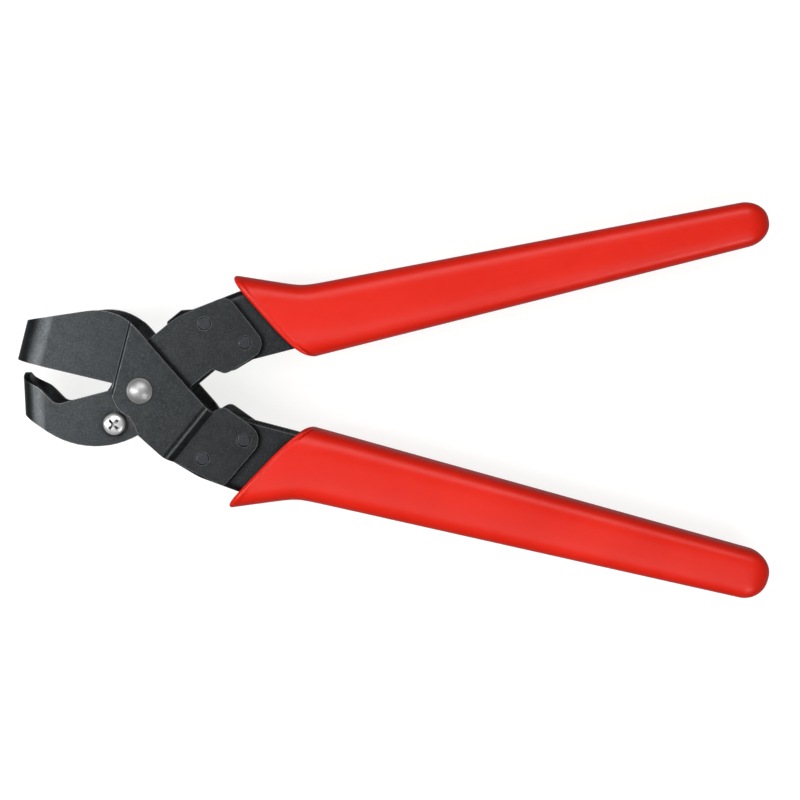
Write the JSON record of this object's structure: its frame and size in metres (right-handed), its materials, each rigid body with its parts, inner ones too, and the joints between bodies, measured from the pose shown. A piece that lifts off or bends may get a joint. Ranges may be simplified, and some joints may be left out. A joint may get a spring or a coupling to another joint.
{
  "type": "notching pliers",
  "caption": "Hand pliers that punch a rectangular notch: two bent sheet-steel levers on one pivot, with channel handles in red dipped sleeves.",
  "frame": {"origin": "on the pivot axis, at the flat end of the pivot rivet that the pliers lie on", "axes": "+X from the jaws to the handles, +Y towards the handle that carries the inner lever, +Z along the pivot axis towards the domed rivet head"},
  "size_m": [0.2419, 0.1267, 0.0303],
  "materials": {
    "blackened_steel": "burnished black sheet steel, satin",
    "pivot_steel": "satin steel rivet",
    "turned_steel": "plain turned steel",
    "zinc_plate": "bright zinc plating",
    "red_sleeve": "dipped plastic, satin gloss"
  },
  "bodies": {
    "outer": {"outer_lever": "blackened_steel", "lower_handle_core": "blackened_steel", "lower_sleeve": "red_sleeve", "pivot_rivet": "pivot_steel", "pivot_washer_near": "turned_steel", "pivot_washer_far": "turned_steel", "lower_rivet_front_near": "blackened_steel", "lower_rivet_front_far": "blackened_steel", "lower_rivet_rear_near": "blackened_steel", "lower_rivet_rear_far": "blackened_steel"},
    "inner": {"inner_lever": "blackened_steel", "upper_handle_core": "blackened_steel", "upper_sleeve": "red_sleeve", "pivot_spacer": "turned_steel", "jaw_screw": "zinc_plate", "jaw_screw_washer": "blackened_steel", "jaw_screw_spacer": "turned_steel", "jaw_screw_nut": "zinc_plate", "upper_rivet_front_near": "blackened_steel", "upper_rivet_front_far": "blackened_steel", "upper_rivet_rear_near": "blackened_steel", "upper_rivet_rear_far": "blackened_steel"}
  },
  "joints": [
    {"name": "pivot_hinge", "type": "hinge", "parent": "outer", "child": "inner", "pos_m": [0, 0, 0.0148], "axis": [0, 0, 1], "range_deg": [-23, 12]}
  ]
}
